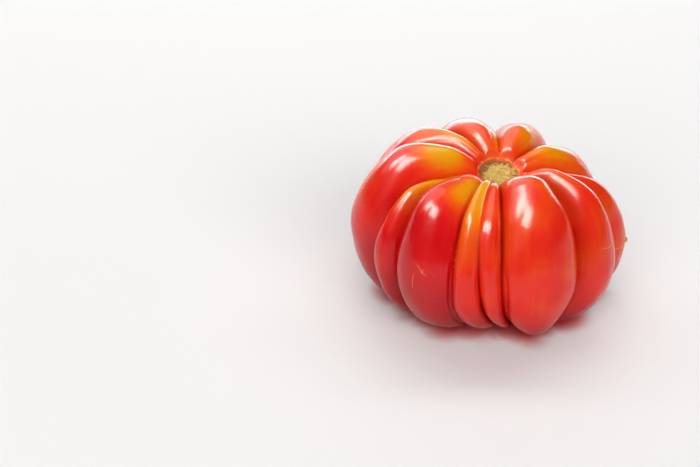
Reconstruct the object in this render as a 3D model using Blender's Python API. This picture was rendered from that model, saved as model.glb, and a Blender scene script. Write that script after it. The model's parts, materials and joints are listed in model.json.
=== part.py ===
"""Ribbed heirloom tomato: one whole fruit, resting on the feet of its lobes.

The fruit is a lobed surface of revolution. Two meridian curves run from the middle of the
stem scar to the middle of the blossom scar: one over the crest of a full lobe, and one along
the floor of a groove. Twelve lobes of unlike widths share the circle. Each lobe is a round
arch between the grooves on its two sides, and each groove wanders a little on its way down.
The crown leans over the level base, the scar is turned a little more to the front, and the
lowest feet are flat where they rest.

Azimuths are in degrees from the front (-Y) towards +X. Lengths in the tables are millimetres.
"""

import math

import bmesh
import bpy
from mathutils import Vector

NAME = "tomato"
MM = 0.001

# Stations down a meridian: 0 scar middle, 1 scar edge, 2 funnel wall, 3 shoulder, 4 upper side,
# 5 widest place, 6 lower side, 7 foot, 8 blossom hollow, 9 blossom scar. Each is radius, height.
CREST = (
    (0, 48.5),
    (7.3, 49.7),
    (10.5, 54.5),
    (21, 58),
    (37.5, 51.5),
    (48, 30),
    (43.5, 10),
    (31, 0.5),
    (12, 2),
    (0, 3.2),
)
FLOOR = (
    (0, 48.5),
    (7, 49.3),
    (9.5, 49.3),
    (18, 48),
    (31, 42.5),
    (40, 29),
    (34.5, 12),
    (24, 4.5),
    (10, 3),
    (0, 3.2),
)

# One row for each lobe, going round from the front. First the groove on its near side: its
# azimuth and then its height between floor (0) and crest (1). Each is spread evenly from scar
# edge to foot: four values stand at every second station and seven at every one. Then the
# lobe's own height at each station from shoulder to foot, and the number of mesh columns
# across it.
LOBES = (
    ((-10, -4, 2, 17), (0.4, 0.35, 0.2, 0.15), (1.38, 1.13, 1, 1.05, 1.06), 11),
    ((54, 51, 42, 30), (0.2, 0, 0, 0.1), (1.05, 1.05, 1, 1, 1), 8),
    ((84, 81, 76, 75), (0.2, 0, 0, 0.1), (0.4, 0.8, 1.15, 1.3, 1.08), 7),
    ((100, 100, 105, 106), (0.2, 0, 0, 0.1), (0.82, 0.71, 0.9, 1, 1), 8),
    ((140, 139, 141, 142), (0.35, 0.2, 0, 0.1), (1, 0.77, 0.95, 1, 1), 8),
    ((178, 179, 179, 178), (0.5, 0.35, 0, 0.1), (0.87, 0.78, 1, 1, 1), 8),
    ((214, 216, 216, 214), (0.4, 0.15, 0, 0.1), (0.74, 0.82, 1.12, 1.05, 1), 8),
    ((242, 244, 248, 246), (0.2, 0, 0, 0.1), (0.9, 1.08, 1.1, 1.08, 1.05), 10),
    ((292, 284, 290, 292), (0.2, 0.1, 0, 0.1), (0.1, 0.62, 0.72, 0.78, 0.7), 6),
    ((304, 296, 307, 314), (0.2, 0.1, 0, 0.1), (0.68, 1.08, 0.95, 0.9, 0.6), 8),
    ((336, 331, 339.5, 347), (0.4, 0.45, 0.38, 0.2), (0.85, 0.9, 0.85, 0.62, 0.3), 5),
    ((346, 342, 352, 369), (0.85, 0.85, 0.86, 0.82, 0.3, 0.1, 0.1), (0.8, 0.86, 0.8, 0.58, 0.25), 5),
)
GROOVE_STATIONS = (1, 7)
LOBE_STATIONS = (3, 7)
LAST_STATION = len(CREST) - 1
RINGS_PER_STATION = 4

# An arch is the part of a circle within this fraction of its radius: near 1, the flanks of two
# lobes meet almost upright, which makes the sharp groove between them.
ARCH = 0.97

LEAN_FORWARD_DEG = 7
LEAN_RIGHT_DEG = 7
LEAN_CENTRE_Z = 28
LEAN_FROM_Z = 2
LEAN_TO_Z = 26
# Rise per unit of distance towards the back that turns the scar a little more to the front.
SCAR_TIP = 0.22
SCAR_TIP_STATIONS = (1, 2.6)
FLAT_CUT = 0.6

SKIN_COLOUR = (0.72, 0.045, 0.022, 1)
SKIN_ROUGHNESS = 0.22


def remove_objects():
    for obj in list(bpy.data.objects):
        bpy.data.objects.remove(obj, do_unlink=True)


def smooth_between(values, place):
    """Catmull-Rom value at a place counted in steps along evenly spaced values."""
    last = len(values) - 1
    place = min(max(place, 0), last)
    step = min(int(place), last - 1)
    t = place - step
    b = values[step]
    c = values[step + 1]
    a = values[step - 1] if step > 0 else 2 * b - c
    d = values[step + 2] if step + 2 <= last else 2 * c - b
    bend = 2 * a - 5 * b + 4 * c - d
    twist = 3 * b - a - 3 * c + d
    return 0.5 * (2 * b + (c - a) * t + bend * t * t + twist * t * t * t)


def meridian(points, station):
    """Radius and height of a meridian curve at a station."""
    radius = smooth_between([point[0] for point in points], station)
    height = smooth_between([point[1] for point in points], station)
    return radius, height


def at_station(values, station, span):
    """Value at a station, from values spread evenly over a span of stations."""
    first, last = span
    return smooth_between(values, (station - first) / (last - first) * (len(values) - 1))


def arch(s):
    """Height of a lobe across its width: 0 at s = -1 and s = 1, and 1 at s = 0."""
    edge = math.sqrt(1 - ARCH * ARCH)
    return (math.sqrt(1 - (ARCH * s) ** 2) - edge) / (1 - edge)


def columns():
    """Lobe number and place across the lobe (-1 to 1) of each mesh column."""
    placed = []
    for number, lobe in enumerate(LOBES):
        count = lobe[3]
        for column in range(count):
            placed.append((number, -math.cos(math.pi * column / count)))
    return placed


def ease(value, low, high):
    """Smooth step from 0 at a low value to 1 at a high value."""
    t = min(max((value - low) / (high - low), 0), 1)
    return t * t * (3 - 2 * t)


def lean(point):
    """Lean a point about the middle: not at all at the base, and fully at the crown."""
    share = ease(point.z, LEAN_FROM_Z, LEAN_TO_Z)
    forward = math.radians(LEAN_FORWARD_DEG) * share
    right = math.radians(LEAN_RIGHT_DEG) * share
    x = point.x
    y = point.y
    z = point.z - LEAN_CENTRE_Z
    x, z = x * math.cos(right) + z * math.sin(right), z * math.cos(right) - x * math.sin(right)
    y, z = y * math.cos(forward) - z * math.sin(forward), y * math.sin(forward) + z * math.cos(forward)
    return Vector((x, y, z + LEAN_CENTRE_Z))


def skin_point(number, s, station):
    """Point on the skin, in millimetres, across a lobe and down its meridian."""
    near = LOBES[number]
    far = LOBES[(number + 1) % len(LOBES)]
    turn = 360 if number + 1 == len(LOBES) else 0
    near_azimuth = at_station(near[0], station, GROOVE_STATIONS)
    far_azimuth = at_station(far[0], station, GROOVE_STATIONS) + turn
    near_depth = at_station(near[1], station, GROOVE_STATIONS)
    far_depth = at_station(far[1], station, GROOVE_STATIONS)
    top = at_station(near[2], station, LOBE_STATIONS)
    across = (1 + s) / 2
    azimuth = math.radians(near_azimuth + (far_azimuth - near_azimuth) * across)
    base = near_depth + (far_depth - near_depth) * across
    height = base + (top - base) * arch(s)
    floor_radius, floor_z = meridian(FLOOR, station)
    crest_radius, crest_z = meridian(CREST, station)
    radius = floor_radius + height * (crest_radius - floor_radius)
    x = radius * math.sin(azimuth)
    y = -radius * math.cos(azimuth)
    z = floor_z + height * (crest_z - floor_z)
    z += y * SCAR_TIP * (1 - ease(station, *SCAR_TIP_STATIONS))
    return lean(Vector((x, y, z)))


def shape_skin(bm, placed):
    """Move each vertex of a unit sphere to its place on the skin."""
    for vert in bm.verts:
        polar = math.acos(min(max(vert.co.z, -1), 1))
        station = round(polar / math.pi * LAST_STATION * RINGS_PER_STATION) / RINGS_PER_STATION
        turn = math.atan2(vert.co.y, vert.co.x) / math.tau * len(placed)
        number, s = placed[round(turn) % len(placed)]
        vert.co = skin_point(number, s, station)


def bounds(bm):
    low = Vector([min(vert.co[axis] for vert in bm.verts) for axis in range(3)])
    high = Vector([max(vert.co[axis] for vert in bm.verts) for axis in range(3)])
    return low, high


def rest_on_flats(bm):
    """Cut a thin slice off the lowest feet, which leaves a flat spot on each."""
    low = bounds(bm)[0]
    bmesh.ops.translate(bm, verts=bm.verts, vec=(0, 0, -low.z - FLAT_CUT))
    everything = bm.verts[:] + bm.edges[:] + bm.faces[:]
    bmesh.ops.bisect_plane(
        bm,
        geom=everything,
        dist=0.0001,
        plane_co=(0, 0, 0),
        plane_no=(0, 0, -1),
        clear_outer=True,
    )
    rims = [edge for edge in bm.edges if edge.is_boundary]
    bmesh.ops.holes_fill(bm, edges=rims)


def centre_over_origin(bm):
    low, high = bounds(bm)
    middle = (low + high) / 2
    bmesh.ops.translate(bm, verts=bm.verts, vec=(-middle.x, -middle.y, -low.z))


def skin_material():
    material = bpy.data.materials.new("skin")
    material.use_nodes = True
    shader = material.node_tree.nodes["Principled BSDF"]
    shader.inputs["Base Color"].default_value = SKIN_COLOUR
    shader.inputs["Roughness"].default_value = SKIN_ROUGHNESS
    shader.inputs["Metallic"].default_value = 0
    return material


def build_tomato(collection):
    placed = columns()
    bm = bmesh.new()
    rings = LAST_STATION * RINGS_PER_STATION
    bmesh.ops.create_uvsphere(bm, u_segments=len(placed), v_segments=rings, radius=1)
    shape_skin(bm, placed)
    rest_on_flats(bm)
    centre_over_origin(bm)
    bmesh.ops.scale(bm, verts=bm.verts, vec=(MM, MM, MM))
    mesh = bpy.data.meshes.new(NAME)
    bm.to_mesh(mesh)
    bm.free()
    mesh.shade_smooth()
    mesh.materials.append(skin_material())
    collection.objects.link(bpy.data.objects.new(NAME, mesh))


def main():
    remove_objects()
    collection = bpy.data.collections.new(NAME)
    bpy.context.scene.collection.children.link(collection)
    build_tomato(collection)


main()
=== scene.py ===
"""Ribbed heirloom tomato: the fine surface, its skin and cork, the light and the camera."""

import json
import math
import random

import bmesh
import bpy
import numpy as np
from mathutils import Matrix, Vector, noise

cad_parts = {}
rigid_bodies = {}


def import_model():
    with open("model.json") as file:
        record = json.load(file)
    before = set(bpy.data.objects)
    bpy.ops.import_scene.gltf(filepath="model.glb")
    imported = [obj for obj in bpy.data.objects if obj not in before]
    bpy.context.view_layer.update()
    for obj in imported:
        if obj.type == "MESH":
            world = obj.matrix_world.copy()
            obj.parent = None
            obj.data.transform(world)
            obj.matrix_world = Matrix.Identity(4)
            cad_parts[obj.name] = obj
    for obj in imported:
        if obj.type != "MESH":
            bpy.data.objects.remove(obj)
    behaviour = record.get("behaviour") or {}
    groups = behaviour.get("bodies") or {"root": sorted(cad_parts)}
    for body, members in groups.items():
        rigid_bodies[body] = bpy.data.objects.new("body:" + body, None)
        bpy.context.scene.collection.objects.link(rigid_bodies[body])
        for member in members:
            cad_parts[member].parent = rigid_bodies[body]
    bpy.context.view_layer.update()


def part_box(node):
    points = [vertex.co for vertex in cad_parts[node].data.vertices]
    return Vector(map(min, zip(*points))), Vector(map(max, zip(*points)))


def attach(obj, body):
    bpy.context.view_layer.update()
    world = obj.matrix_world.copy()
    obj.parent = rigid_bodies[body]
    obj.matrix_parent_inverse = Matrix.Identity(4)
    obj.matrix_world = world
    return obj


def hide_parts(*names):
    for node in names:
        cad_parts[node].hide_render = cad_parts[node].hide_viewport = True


MM = 0.001
chance = random.Random(7)

# ---------------------------------------------------------------- the frame

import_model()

# ---------------------------------------------------------------- the lobed form
# Stations down a meridian: 0 scar middle, 1 scar edge, 2 funnel wall, 3 shoulder, 4 upper side,
# 5 widest place, 6 lower side, 7 foot, 8 blossom hollow, 9 blossom scar. Each is radius, height,
# in millimetres. Azimuths are in degrees from the front (-Y) towards +X.

CREST = (
    (0, 48.5),
    (7.3, 49.7),
    (10.5, 54.5),
    (21, 58),
    (37.5, 51.5),
    (48, 30),
    (43.5, 10),
    (31, 0.5),
    (12, 2),
    (0, 3.2),
)
FLOOR = (
    (0, 48.5),
    (7.0, 49.3),
    (9.5, 49.3),
    (18, 48),
    (31, 42.5),
    (40, 29),
    (34.5, 12),
    (24, 4.5),
    (10, 3),
    (0, 3.2),
)
A, B, C, D, E, F, G, H, I, J, K, L = range(12)
# For each lobe, going round from the front: the azimuth of the groove before it and that
# groove's height (0 floor, 1 crest), the lobe's own height, and the number of mesh columns
# across it. The groove's values are spread evenly over stations 1 to 7, so four stand at every
# second station and seven at every one. The lobe's heights stand at stations 3 to 7.
LOBES = (
    ((-10, -4, 2, 17), (0.4, 0.35, 0.2, 0.15), (1.38, 1.13, 1, 1.05, 1.06), 56),
    ((54, 51, 42, 30), (0.2, 0, 0, 0.1), (1.05, 1.05, 1, 1, 1), 42),
    ((84, 81, 76, 75), (0.2, 0, 0, 0.1), (0.4, 0.8, 1.15, 1.3, 1.08), 34),
    ((100, 100, 105, 106), (0.2, 0, 0, 0.1), (0.82, 0.71, 0.9, 1, 1), 38),
    ((140, 139, 141, 142), (0.35, 0.2, 0, 0.1), (1, 0.77, 0.95, 1, 1), 40),
    ((178, 179, 179, 178), (0.5, 0.35, 0, 0.1), (0.87, 0.78, 1, 1, 1), 38),
    ((214, 216, 216, 214), (0.4, 0.15, 0, 0.1), (0.74, 0.82, 1.12, 1.05, 1), 38),
    ((242, 244, 248, 246), (0.2, 0, 0, 0.1), (0.9, 1.08, 1.1, 1.08, 1.05), 50),
    ((292, 284, 290, 292), (0.2, 0.1, 0, 0.1), (0.1, 0.62, 0.72, 0.78, 0.7), 28),
    ((304, 296, 307, 314), (0.2, 0.1, 0, 0.1), (0.68, 1.08, 0.95, 0.9, 0.6), 40),
    ((336, 331, 339.5, 347), (0.4, 0.45, 0.38, 0.2), (0.85, 0.9, 0.85, 0.62, 0.3), 24),
    (
        (346, 342, 352, 369),
        (0.85, 0.85, 0.86, 0.82, 0.3, 0.1, 0.1),
        (0.8, 0.86, 0.8, 0.58, 0.25),
        24,
    ),
)
# Mesh rings between one station and the next.
RINGS = (24, 14, 20, 32, 40, 34, 32, 16, 8)
ARCH = 0.97
LEAN_FORWARD_DEG = 7
LEAN_RIGHT_DEG = 7
LEAN_CENTRE_Z = 28
LEAN_FROM_Z = 2
LEAN_TO_Z = 26
FLAT_CUT = 0.6
# Rise per unit of distance towards the back, which fades out between two stations.
SCAR_TIP = 0.22
SCAR_TIP_STATIONS = (1.0, 2.6)


def smooth_between(values, place):
    """Catmull-Rom value at places counted in steps along evenly spaced values."""
    values = np.asarray(values, float)
    last = len(values) - 1
    place = np.clip(place, 0, last)
    step = np.minimum(place.astype(int), last - 1)
    t = place - step
    padded = np.concatenate([[2 * values[0] - values[1]], values, [2 * values[-1] - values[-2]]])
    a, b, c, d = (padded[step + offset] for offset in range(4))
    bend = 2 * a - 5 * b + 4 * c - d
    twist = 3 * b - a - 3 * c + d
    return 0.5 * (2 * b + (c - a) * t + bend * t * t + twist * t * t * t)


def at_station(values, station, first, last):
    """Value at stations, from values spread evenly between a first and a last station."""
    return smooth_between(values, (station - first) / (last - first) * (len(values) - 1))


def meridian(points, station):
    radius = smooth_between([point[0] for point in points], station)
    height = smooth_between([point[1] for point in points], station)
    return radius, height


def arch(s):
    """Height of a lobe across its width: 0 at s = -1 and s = 1, and 1 at s = 0."""
    edge = math.sqrt(1 - ARCH * ARCH)
    return (np.sqrt(1 - (ARCH * s) ** 2) - edge) / (1 - edge)


def step_between(low, high, value):
    """Smooth step from 0 at a low value to 1 at a high value."""
    t = np.clip((value - low) / (high - low), 0, 1)
    return t * t * (3 - 2 * t)


def lean(points):
    """Lean points about the middle: not at all at the base, and fully at the crown."""
    share = step_between(LEAN_FROM_Z, LEAN_TO_Z, points[..., 2])
    forward = math.radians(LEAN_FORWARD_DEG) * share
    right = math.radians(LEAN_RIGHT_DEG) * share
    x, y, z = points[..., 0], points[..., 1], points[..., 2] - LEAN_CENTRE_Z
    x, z = x * np.cos(right) + z * np.sin(right), z * np.cos(right) - x * np.sin(right)
    y, z = y * np.cos(forward) - z * np.sin(forward), y * np.sin(forward) + z * np.cos(forward)
    return np.stack([x, y, z + LEAN_CENTRE_Z], -1)


def grid_places():
    """Station of each ring, and lobe number and place across the lobe (0 to 1) of each column."""
    stations = [0.0]
    for number, count in enumerate(RINGS):
        stations += [number + (step + 1) / count for step in range(count)]
    lobes = []
    across = []
    for number, lobe in enumerate(LOBES):
        count = lobe[3]
        lobes += [number] * count
        across += [column / count for column in range(count)]
    return np.array(stations), np.array(lobes), np.array(across)


def tip_scar(points, station):
    """Rise that turns the scar and its funnel a little more towards the front."""
    share = 1 - step_between(*SCAR_TIP_STATIONS, station)
    return points[..., 1] * SCAR_TIP * share


def form(station, lobe, across):
    """Points of the lobed form, in millimetres, as a grid of rings by columns."""
    s = -np.cos(np.pi * across)
    x = station[:, None]
    rows, cols = len(station), len(lobe)
    near_az = np.empty((rows, cols))
    far_az = np.empty((rows, cols))
    near_up = np.empty((rows, cols))
    far_up = np.empty((rows, cols))
    top = np.empty((rows, cols))
    for number, here in enumerate(LOBES):
        far = LOBES[(number + 1) % len(LOBES)]
        turn = 360 if number + 1 == len(LOBES) else 0
        mine = lobe == number
        near_az[:, mine] = at_station(here[0], x, 1, 7)
        far_az[:, mine] = at_station(far[0], x, 1, 7) + turn
        near_up[:, mine] = at_station(here[1], x, 1, 7)
        far_up[:, mine] = at_station(far[1], x, 1, 7)
        top[:, mine] = at_station(here[2], x, 3, 7)
    share = ((1 + s) / 2)[None]
    azimuth = np.radians(near_az + (far_az - near_az) * share)
    base = near_up + (far_up - near_up) * share
    height = base + (top - base) * arch(s)[None]
    floor_r, floor_z = meridian(FLOOR, x)
    crest_r, crest_z = meridian(CREST, x)
    radius = floor_r + height * (crest_r - floor_r)
    z = floor_z + height * (crest_z - floor_z)
    points = np.stack([radius * np.sin(azimuth), -radius * np.cos(azimuth), z], -1)
    points[..., 2] += tip_scar(points, x)
    return lean(points), azimuth


def normals(points):
    """Outward normals of a grid that closes on itself along its columns."""
    down = np.gradient(points, axis=0)
    wrapped = np.concatenate([points[:, -1:], points, points[:, :1]], 1)
    along = wrapped[:, 2:] - wrapped[:, :-2]
    found = np.cross(down, along)
    found[0] = found[1].mean(0)
    found[-1] = found[-2].mean(0)
    return found / (np.linalg.norm(found, axis=-1, keepdims=True) + 1e-12)


def perlin(points, scale, offset=0.0):
    """Smooth noise, about -0.5 to 0.5, of a grid of points."""
    flat = points.reshape(-1, points.shape[-1]) * scale + offset
    return np.array([noise.noise(p) for p in flat.tolist()]).reshape(points.shape[:-1])


def bell(distance):
    return np.exp(-distance * distance)


# ---------------------------------------------------------------- relief and masks

station, lobe, across = grid_places()
points, azimuth = form(station, lobe, across)
points[..., 2] -= points[..., 2].min() + FLAT_CUT
# Station, place across its lobe, and lobe number, of every point of the grid.
X = np.broadcast_to(station[:, None], azimuth.shape)
T = np.broadcast_to(across[None], azimuth.shape)
N = np.broadcast_to(lobe[None], azimuth.shape)


def on_path(number, places, width):
    """Nearness (0 to 1) to a line down a lobe. places: across the lobe at stations 1, 3, 5, 7."""
    line = at_station(places, X, 1, 7)
    return np.where(N == number, bell((T - line) / width), 0.0)


def between(low, high, soft=0.4):
    """1 between two stations, falling to 0 over a soft edge on each side."""
    return step_between(low - soft, low, X) * (1 - step_between(high, high + soft, X))


def spot(number, place, at, width, length):
    """A soft round patch on a lobe: where across it and down it, and how wide and long."""
    near = np.where(N == number, bell((T - place) / width), 0.0)
    return near * bell((X - at) / length)


relief = np.zeros(azimuth.shape)
# Soft secondary folds: lobe, line across it at stations 1, 3, 5 and 7, width, depth, and the
# first and last station.
FOLDS = (
    (A, (0.1, 0.1, 0.14, 0.12), 0.025, 0.45, 4.8, 6.6),
    (J, (0.9, 0.9, 0.88, 0.86), 0.03, 0.5, 4.8, 6.8),
    (D, (0.35, 0.35, 0.4, 0.4), 0.08, 0.4, 1.6, 4.6),
    (F, (0.35, 0.35, 0.4, 0.4), 0.08, 0.3, 2.0, 5.2),
    (E, (0.6, 0.6, 0.6, 0.6), 0.12, 0.2, 1.8, 5.2),
    (G, (0.6, 0.6, 0.62, 0.6), 0.08, 0.3, 2.0, 6.0),
    (C, (0.6, 0.6, 0.6, 0.6), 0.08, 0.3, 3.5, 6.5),
)
for number, places, width, depth, low, high in FOLDS:
    relief -= depth * on_path(number, places, width) * between(low, high)

# Gentle unevenness of a grown thing, longer down the fruit than across it.
wave_place = np.stack([T * 2.2 + N * 7.3, X * 0.55, N * 3.1], -1)
lobe_edge = np.sin(np.pi * T)
relief += 0.35 * perlin(wave_place, 1.0) * lobe_edge * between(2.2, 7.2, 0.8)
relief += 0.22 * perlin(points, 0.14, 11.3) * between(1.6, 8.0, 0.6)

unit = normals(points)
points = points + unit * relief[..., None]
points[..., 2] = np.maximum(points[..., 2], 0)

# Ripeness, 0 crimson to 1 amber: each lobe at stations 1, 3, 5 and 7.
RIPE = {
    A: (0.56, 0.54, 0.44, 0.28),
    B: (0.56, 0.53, 0.4, 0.27),
    C: (0.58, 0.55, 0.52, 0.42),
    D: (0.6, 0.58, 0.48, 0.4),
    E: (0.6, 0.58, 0.5, 0.4),
    F: (0.57, 0.58, 0.45, 0.3),
    G: (0.55, 0.55, 0.42, 0.3),
    H: (0.42, 0.46, 0.22, 0.1),
    # On I the low values at stations 5 and 7 are painted shade: its lower side is made dark
    # crimson, standing in for shade from a neighbouring fruit.
    I: (0.78, 0.78, 0.18, 0.0),
    J: (0.5, 0.35, 0.06, 0.12),
    K: (0.85, 0.87, 0.4, 0.22),
    L: (0.58, 0.55, 0.45, 0.28),
}
ripe = np.zeros(azimuth.shape)
for number, values in RIPE.items():
    ripe = np.where(N == number, at_station(values, X, 1, 7), ripe)
# Amber patches: lobe, place across, station, width, length, strength.
PATCHES = (
    (H, 0.6, 2.95, 0.26, 0.6, 0.65),
    # This patch on H is partly its own orange and partly a painted sheen that lightens the left
    # flank.
    (H, 0.5, 4.6, 0.2, 0.45, 0.22),
    (J, 0.72, 3.2, 0.28, 0.7, 0.75),
    (K, 0.5, 3.1, 0.5, 0.9, 0.12),
    (G, 0.4, 3.0, 0.22, 0.7, 0.45),
    (F, 0.1, 2.9, 0.14, 0.9, 0.45),
    (E, 0.3, 2.9, 0.2, 0.6, 0.3),
    (D, 0.5, 2.8, 0.3, 0.8, 0.3),
    (I, 0.5, 3.6, 0.5, 0.8, 0.3),
)
for number, place, at, width, length, strength in PATCHES:
    ripe = ripe + strength * spot(number, place, at, width, length)
# Soften the step in ripeness from one lobe to the next.
SOFTENING_PASSES = 14
for _ in range(SOFTENING_PASSES):
    ripe = (np.roll(ripe, 1, 1) + 2 * ripe + np.roll(ripe, -1, 1)) / 4
ripe = ripe + 0.12 * perlin(points, 0.09, 4.7)

cork = 1 - step_between(0.86, 1.02, X + 0.1 * perlin(points, 0.6, 2.2))
cork = np.maximum(cork, step_between(8.5, 8.75, X))
ring = bell((X - 1.06) / 0.16)
# Lower side and foot: there the colour is darkened as painted shade, and the coat is thinned.
foot = step_between(4.9, 6.5, X)
# Round the scar's rim, most of all on its back and left.
turned = np.cos(azimuth - math.radians(225))
rim = bell((X - 0.92) / 0.3) * np.clip(0.62 + 0.45 * turned, 0, 1)
collar = 1 - step_between(1.3, 1.9, X + 0.25 * perlin(points, 0.5, 8.8))
# Nearness to the grooves, which carries the painted bounce light in their colour.
groove = bell(np.minimum(T, 1 - T) / 0.06) * between(1.2, 7.5, 0.4)


# ---------------------------------------------------------------- the mesh


def grid_mesh(name, points, masks):
    """A closed mesh from a grid of rings by columns whose first and last rings are points."""
    rows, cols = points.shape[:2]
    inner = points[1:-1].reshape(-1, 3)
    verts = np.concatenate([inner, points[:1, 0], points[-1:, 0]]) * MM
    here = np.arange((rows - 3) * cols).reshape(rows - 3, cols)
    right = np.roll(here, -1, axis=1)
    quads = np.stack([here, here + cols, right + cols, right], -1).reshape(-1, 4)
    top, bottom = len(inner), len(inner) + 1
    first = np.arange(cols)
    last = first + (rows - 3) * cols
    caps = [(top, int(a), int(b)) for a, b in zip(first, np.roll(first, -1))]
    caps += [(bottom, int(b), int(a)) for a, b in zip(last, np.roll(last, -1))]
    mesh = bpy.data.meshes.new(name)
    mesh.from_pydata(verts.tolist(), [], quads.tolist() + caps)
    for key, grid in masks.items():
        values = np.concatenate([grid[1:-1].ravel(), grid[:1, 0], grid[-1:, 0]])
        layer = mesh.attributes.new(key, "FLOAT", "POINT")
        layer.data.foreach_set("value", values.astype(np.float32))
    mesh.shade_smooth()
    return mesh


box_low, box_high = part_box("tomato")
middle = (box_low + box_high) / 2
low = points.reshape(-1, 3).min(0)
high = points.reshape(-1, 3).max(0)
points[..., 0] += middle.x / MM - (low[0] + high[0]) / 2
points[..., 1] += middle.y / MM - (low[1] + high[1]) / 2

masks = {
    "ripe": ripe,
    "cork": cork,
    "rim": rim,
    "ring": ring,
    "foot": foot,
    "collar": collar,
    "groove": groove,
    "across": T + N,
    "station": X,
}
fruit = bpy.data.objects.new("tomato_skin", grid_mesh("tomato_skin", points, masks))
bpy.context.scene.collection.objects.link(fruit)
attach(fruit, "root")
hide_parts("tomato")

# ---------------------------------------------------------------- fine marks on the skin

unit = normals(points)
column_start = np.cumsum([0] + [row[3] for row in LOBES])


def skin_at(number, place, at):
    """Point of the skin and its outward normal, across a lobe (0 to 1) and at a station."""
    row = np.interp(at, station, np.arange(len(station)))
    column = column_start[number] + place * LOBES[number][3]
    r, c = int(row), int(column)
    found = []
    for grid in (points, unit):
        left = grid[r, c] + (grid[r + 1, c] - grid[r, c]) * (row - r)
        next_c = (c + 1) % grid.shape[1]
        right = grid[r, next_c] + (grid[r + 1, next_c] - grid[r, next_c]) * (row - r)
        found.append(Vector(left + (right - left) * (column - c)))
    return found


def along(path, count):
    """Places and stations of points spread along a smooth path of (place, station) pairs."""
    t = np.linspace(0, len(path) - 1, count)
    return zip(smooth_between([p[0] for p in path], t), smooth_between([p[1] for p in path], t))


def thread(bm, number, path, width, count=24, sides=6):
    """A thin raised line along a path on one lobe, tapered at both ends."""
    spots = [skin_at(number, place, at) for place, at in along(path, count)]
    rings = []
    for step, (centre, normal) in enumerate(spots):
        ahead = spots[min(step + 1, count - 1)][0] - spots[max(step - 1, 0)][0]
        side = ahead.cross(normal).normalized()
        reach = width / 2 * math.sqrt(math.sin(math.pi * (step + 0.3) / (count - 0.4)))
        ring = []
        for corner in range(sides):
            angle = math.tau * corner / sides
            off = side * math.cos(angle) + normal * 0.6 * math.sin(angle)
            ring.append(bm.verts.new((centre + off * reach) * MM))
        rings.append(ring)
    for one, two in zip(rings, rings[1:]):
        for corner in range(sides):
            after = (corner + 1) % sides
            bm.faces.new((one[corner], one[after], two[after], two[corner]))
    bm.faces.new(rings[0][::-1])
    bm.faces.new(rings[-1])


def bead(bm, number, place, at, size):
    """A low rounded grain on the skin. size: across, down and up."""
    centre, normal = skin_at(number, place, at)
    turn = normal.to_track_quat("Z", "Y").to_matrix()
    made = bmesh.ops.create_icosphere(bm, subdivisions=2, radius=0.5)["verts"]
    for vert in made:
        grown = Vector([vert.co[axis] * size[axis] for axis in range(3)])
        vert.co = (centre + turn @ grown) * MM


def grains(bm, number, path, count, small, large, spread):
    """Beads of unlike sizes strewn along a path."""
    for place, at in along(path, count):
        size = chance.uniform(small, large)
        shift = chance.uniform(-spread, spread)
        stretch = chance.uniform(0.8, 1.5)
        drift = chance.uniform(-0.02, 0.02)
        bead(bm, number, place + shift, at + drift, (size, size * stretch, size * 0.7))


def piece(name, bm, material):
    bmesh.ops.recalc_face_normals(bm, faces=bm.faces)
    mesh = bpy.data.meshes.new(name)
    bm.to_mesh(mesh)
    bm.free()
    mesh.shade_smooth()
    mesh.materials.append(material)
    made = bpy.data.objects.new(name, mesh)
    bpy.context.scene.collection.objects.link(made)
    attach(made, "root")


def build_marks():
    """Dry yellow scratches, corky grains down three creases, and one tan wart."""
    bm = bmesh.new()
    thread(bm, J, ((0.51, 4.77), (0.54, 4.80), (0.57, 4.86), (0.62, 4.89)), 0.16)
    thread(bm, J, ((0.585, 4.80), (0.575, 4.83), (0.58, 4.87)), 0.16)
    thread(bm, J, ((0.505, 4.9), (0.497, 5.05), (0.5, 5.2)), 0.14)
    thread(bm, B, ((0.36, 4.53), (0.45, 4.57), (0.53, 4.58)), 0.2)
    thread(bm, C, ((0.2, 5.04), (0.28, 5.08), (0.38, 5.06)), 0.2)
    bead(bm, A, 0.34, 3.81, (0.8, 0.6, 0.3))
    piece("scratches", bm, mark_material("scratch", (0.66, 0.24, 0.02), (0.80, 0.42, 0.06)))
    bm = bmesh.new()
    grains(bm, J, ((0.975, 3.6), (0.965, 4.0), (0.955, 4.3), (0.95, 4.62)), 40, 0.25, 0.5, 0.012)
    grains(bm, A, ((0.1, 4.6), (0.13, 4.75), (0.13, 4.95)), 10, 0.2, 0.35, 0.012)
    piece("crease_cork", bm, mark_material("crease_cork", (0.30, 0.02, 0.01), (0.60, 0.12, 0.06)))
    bm = bmesh.new()
    grains(bm, K, ((0.95, 4.1), (0.93, 4.3), (0.94, 4.6)), 22, 0.25, 0.5, 0.02)
    piece("slit_cork", bm, mark_material("slit_cork", (0.10, 0.01, 0.01), (0.28, 0.03, 0.02)))
    bm = bmesh.new()
    bead(bm, C, 0.46, 5.09, (1.6, 2.4, 1.6))
    piece("wart", bm, mark_material("wart", (0.60, 0.20, 0.04), (0.75, 0.32, 0.10)))


# ---------------------------------------------------------------- materials


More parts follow.
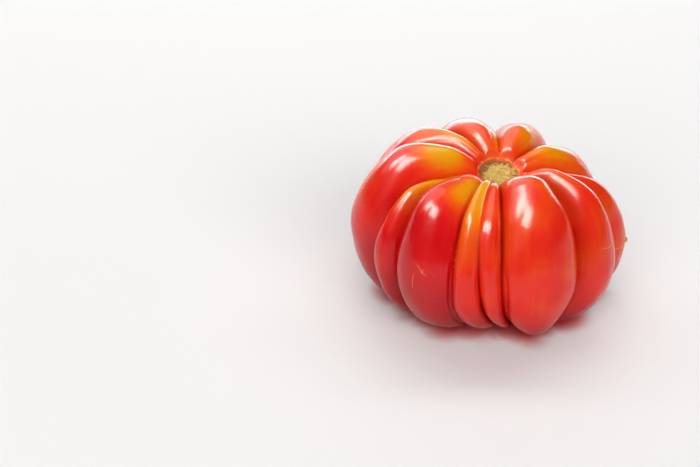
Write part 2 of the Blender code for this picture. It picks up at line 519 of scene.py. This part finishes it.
class Nodes:
    """A short way to write a node tree."""

    def __init__(self, tree):
        self.tree = tree

    def add(self, kind, **settings):
        node = self.tree.nodes.new("ShaderNode" + kind)
        for key, value in settings.items():
            setattr(node, key, value)
        return node

    def link(self, source, target):
        if hasattr(source, "default_value") or hasattr(source, "is_output"):
            self.tree.links.new(source, target)
        else:
            target.default_value = source

    def value(self, name):
        return self.add("Attribute", attribute_name=name).outputs["Fac"]

    def math(self, operation, a, b=0.0, c=0.0):
        node = self.add("Math", operation=operation)
        for source, socket in zip((a, b, c), node.inputs):
            self.link(source, socket)
        return node.outputs[0]

    def smooth(self, source, low, high):
        node = self.add("MapRange", interpolation_type="SMOOTHSTEP")
        for key, value in zip(("Value", "From Min", "From Max"), (source, low, high)):
            self.link(value, node.inputs[key])
        return node.outputs["Result"]

    def vector(self, x, y, z):
        node = self.add("CombineXYZ")
        for source, socket in zip((x, y, z), node.inputs):
            self.link(source, socket)
        return node.outputs[0]

    def noise(self, where, scale, detail=2.0, roughness=0.5):
        node = self.add("TexNoise")
        self.link(where, node.inputs["Vector"])
        node.inputs["Scale"].default_value = scale
        node.inputs["Detail"].default_value = detail
        node.inputs["Roughness"].default_value = roughness
        return node.outputs["Fac"]

    def cells(self, where, scale):
        node = self.add("TexVoronoi")
        self.link(where, node.inputs["Vector"])
        node.inputs["Scale"].default_value = scale
        return node.outputs["Distance"]

    def mix(self, share, a, b):
        node = self.add("Mix", data_type="RGBA")
        self.link(share, node.inputs[0])
        self.link(a, node.inputs[6])
        self.link(b, node.inputs[7])
        return node.outputs[2]

    def ramp(self, source, stops):
        node = self.add("ValToRGB")
        marks = node.color_ramp.elements
        while len(marks) < len(stops):
            marks.new(0.5)
        for mark, (place, colour) in zip(marks, stops):
            mark.position = place
            mark.color = (*colour, 1)
        self.link(source, node.inputs[0])
        return node.outputs[0]

    def bump(self, height, distance, strength, normal=None):
        node = self.add("Bump")
        node.inputs["Strength"].default_value = strength
        node.inputs["Distance"].default_value = distance
        self.link(height, node.inputs["Height"])
        if normal is not None:
            self.link(normal, node.inputs["Normal"])
        return node.outputs[0]


def new_material(name):
    material = bpy.data.materials.new(name)
    material.use_nodes = True
    return material, material.node_tree.nodes["Principled BSDF"], Nodes(material.node_tree)


def skin_material():
    material, shader, n = new_material("tomato_skin")
    where = n.add("TexCoord").outputs["Object"]
    around = n.value("across")
    down = n.value("station")
    cork_mask = n.value("cork")
    stretched = n.vector(n.math("MULTIPLY", around, 26.0), n.math("MULTIPLY", down, 0.8), 0.0)
    streaks = n.noise(stretched, 1.0, 3.0)
    blotches = n.noise(where, 90.0, 3.0)
    ripeness = n.value("ripe")
    ripeness = n.math("ADD", ripeness, n.math("MULTIPLY_ADD", streaks, 0.16, -0.08))
    ripeness = n.math("ADD", ripeness, n.math("MULTIPLY_ADD", blotches, 0.16, -0.08))
    red = n.ramp(
        ripeness,
        (
            (0.0, (0.45, 0.001, 0.003)),
            (0.25, (0.60, 0.003, 0.005)),
            (0.45, (0.68, 0.020, 0.006)),
            (0.65, (0.72, 0.085, 0.004)),
            (0.82, (0.72, 0.210, 0.001)),
            (1.0, (0.66, 0.290, 0.003)),
        ),
    )
    # Painted bounce light: in the grooves the red is made brighter and purer, so their shade reads
    # red.
    red = n.mix(n.math("MULTIPLY", n.value("groove"), 0.6), red, (0.85, 0.002, 0.006, 1))
    # Painted shade: towards the foot the red is darkened to maroon, as if in the fruit's own shade
    # near the floor.
    red = n.mix(n.math("MULTIPLY", n.value("foot"), 0.85), red, (0.22, 0.0005, 0.003, 1))
    torn = n.math("MULTIPLY_ADD", n.noise(where, 650.0, 4.0, 0.65), 1.6, n.value("ring"))
    ragged = n.smooth(torn, 1.55, 1.85)
    red = n.mix(n.math("MULTIPLY", ragged, 0.85), red, (0.66, 0.30, 0.03, 1))
    speckle = n.smooth(n.cells(where, 900.0), 0.16, 0.05)
    speckle = n.math("MULTIPLY", speckle, n.smooth(n.noise(where, 260.0), 0.45, 0.65))
    red = n.mix(n.math("MULTIPLY", speckle, 0.35), red, (0.95, 0.42, 0.18, 1))
    # Cork: straw-coloured, with brown pits thick round its rim and a few wandering cracks.
    grain = n.noise(where, 900.0, 4.0, 0.6)
    rim = n.value("rim")
    pits = n.smooth(n.math("MULTIPLY_ADD", rim, 0.36, n.noise(where, 640.0, 3.0, 0.65)), 0.67, 0.76)
    wander = n.math("ABSOLUTE", n.math("SUBTRACT", n.noise(where, 230.0, 1.0), 0.5))
    thin = n.smooth(wander, 0.018, 0.0)
    cracks = n.math("MULTIPLY", thin, n.smooth(n.noise(where, 310.0), 0.42, 0.55))
    beige = n.ramp(
        grain,
        (
            (0.25, (0.34, 0.20, 0.035)),
            (0.5, (0.52, 0.37, 0.08)),
            (0.75, (0.68, 0.56, 0.20)),
        ),
    )
    beige = n.mix(n.math("MULTIPLY", rim, 0.6), beige, (0.52, 0.17, 0.015, 1))
    beige = n.mix(n.math("MULTIPLY", pits, 0.85), beige, (0.20, 0.055, 0.008, 1))
    beige = n.mix(n.math("MULTIPLY", cracks, 0.8), beige, (0.18, 0.08, 0.015, 1))
    n.link(n.mix(cork_mask, red, beige), shader.inputs["Base Color"])
    gloss = n.math("MULTIPLY_ADD", n.noise(where, 500.0), 0.10, 0.20)
    dull = n.math("MAXIMUM", cork_mask, n.math("MULTIPLY", n.value("collar"), 0.8))
    n.link(n.math("MULTIPLY_ADD", dull, 0.6, gloss), shader.inputs["Roughness"])
    bare = n.math("MAXIMUM", dull, n.math("MULTIPLY", n.value("foot"), 0.85))
    n.link(n.math("MULTIPLY_ADD", bare, -0.25, 0.25), shader.inputs["Coat Weight"])
    shader.inputs["Coat Roughness"].default_value = 0.15
    shader.inputs["IOR"].default_value = 1.45
    shader.inputs["Specular IOR Level"].default_value = 0.3
    shader.inputs["Subsurface Weight"].default_value = 0.35
    shader.inputs["Subsurface Radius"].default_value = (1.0, 0.25, 0.08)
    shader.inputs["Subsurface Scale"].default_value = 0.003
    skin_height = n.math("ADD", n.noise(where, 1500.0, 2.0), n.math("MULTIPLY", streaks, 0.6))
    bumped = n.bump(skin_height, 0.00004, 0.35)
    cork_height = n.math("SUBTRACT", n.math("ADD", grain, n.math("MULTIPLY", pits, -0.8)), cracks)
    cork_height = n.math("MULTIPLY", cork_height, cork_mask)
    n.link(n.bump(cork_height, 0.0004, 0.8, bumped), shader.inputs["Normal"])
    return material


def mark_material(name, dark, light):
    """A dry corky finish, mottled between two colours."""
    material, shader, n = new_material(name)
    where = n.add("TexCoord").outputs["Object"]
    n.link(n.ramp(n.noise(where, 1800.0), ((0.3, dark), (0.7, light))), shader.inputs["Base Color"])
    shader.inputs["Roughness"].default_value = 0.6
    return material


PALE_FLOOR = (0.76, 0.752, 0.748, 1)
# Painted shadow: the dark red put on the floor under the fruit, and the reach of the occlusion that
# places it.
PAINTED_SHADOW_FLOOR = (0.50, 0.045, 0.05, 1)
PAINTED_SHADOW_REACH = 0.007


def floor_material():
    material, shader, n = new_material("floor")
    # Painted shadow: close under the fruit, where ambient occlusion finds it near, the floor turns
    # dark red. This stands in for the contact shadow and the red light bounced from the skin.
    near = n.add("AmbientOcclusion", samples=8, only_local=False)
    near.inputs["Distance"].default_value = PAINTED_SHADOW_REACH
    unshadowed_share = n.smooth(near.outputs["AO"], 0.2, 0.8)
    n.link(n.mix(unshadowed_share, PAINTED_SHADOW_FLOOR, PALE_FLOOR), shader.inputs["Base Color"])
    shader.inputs["Roughness"].default_value = 0.6
    shader.inputs["Specular IOR Level"].default_value = 0.3
    return material


fruit.data.materials.append(skin_material())
build_marks()

# ---------------------------------------------------------------- floor, light, camera

bpy.ops.mesh.primitive_circle_add(vertices=96, radius=4.0, fill_type="NGON")
ground = bpy.context.object
ground.name = "floor"
ground.data.materials.append(floor_material())

fruit_only = bpy.data.collections.new("lit_fruit")
floor_only = bpy.data.collections.new("lit_floor")
floor_only.objects.link(ground)
for obj in bpy.context.scene.objects:
    if obj.type == "MESH" and obj != ground:
        fruit_only.objects.link(obj)


def softbox(name, place, size, strength, colour=(1, 1, 1), target=(0, 0, 0.03)):
    """A rectangular area light that faces a target. strength is its radiance."""
    data = bpy.data.lights.new(name, "AREA")
    data.shape = "RECTANGLE"
    data.size, data.size_y = size
    data.energy = strength * size[0] * size[1] * math.pi
    data.color = colour
    lamp = bpy.data.objects.new(name, data)
    bpy.context.scene.collection.objects.link(lamp)
    lamp.location = place
    lamp.rotation_euler = (Vector(place) - Vector(target)).to_track_quat("Z", "Y").to_euler()
    lamp.visible_camera = False
    return lamp


WARM = (1, 0.94, 0.87)
# Seen only in reflections: two tall windows at the left front, a dim ceiling, and a low bright
# wall behind.
for lamp in (
    softbox("window_left", (-1.04, 0.02, 1.38), (0.50, 0.90), 27.0, WARM),
    softbox("window_right", (-0.60, -0.66, 1.40), (0.66, 0.90), 27.0, WARM),
    softbox("ceiling", (-0.7, 0.7, 1.4), (2.2, 2.0), 2.2),
    softbox("back_wall", (0.1, 1.9, 0.32), (3.2, 0.58), 6.5),
):
    lamp.visible_diffuse = False
# Broad soft light that reflections leave out. The first three light only the fruit, and the
# last three only the floor.
for lamp, lit in (
    (softbox("front_left", (-1.15, -0.98, 0.68), (1.1, 0.8), 5.2), fruit_only),
    (softbox("front_right", (0.85, -1.20, 0.66), (1.1, 0.8), 5.2), fruit_only),
    (softbox("crown_lamp", (-0.10, 0.45, 1.30), (1.7, 1.2), 3.4), fruit_only),
    (softbox("floor_front", (0.1, -1.30, 0.80), (2.4, 0.8), 6.1), floor_only),
    (softbox("floor_top", (0.3, 0.45, 1.30), (1.2, 1.2), 0.35), floor_only),
    (softbox("floor_back", (0.05, 0.48, 0.8), (1.6, 0.3), 3.9, target=(0.05, 0.48, 0)), floor_only),
):
    lamp.visible_glossy = False
    lamp.light_linking.receiver_collection = lit

world = bpy.data.worlds.new("studio")
world.use_nodes = True
world.node_tree.nodes["Background"].inputs["Color"].default_value = (1, 1, 1, 1)
world.node_tree.nodes["Background"].inputs["Strength"].default_value = 0.08
bpy.context.scene.world = world
world.cycles_visibility.glossy = False
bpy.context.scene.view_settings.view_transform = "Standard"

CAMERA_LENS = 87.4
CAMERA_ELEVATION_DEG = 29
camera_data = bpy.data.cameras.new("camera")
camera_data.lens = CAMERA_LENS
camera_data.sensor_width = 36
camera = bpy.data.objects.new("camera", camera_data)
bpy.context.scene.collection.objects.link(camera)
camera.location = (-0.0494, -0.531, 0.3181)
camera.rotation_euler = (math.radians(90 - CAMERA_ELEVATION_DEG), 0, 0)
bpy.context.scene.camera = camera
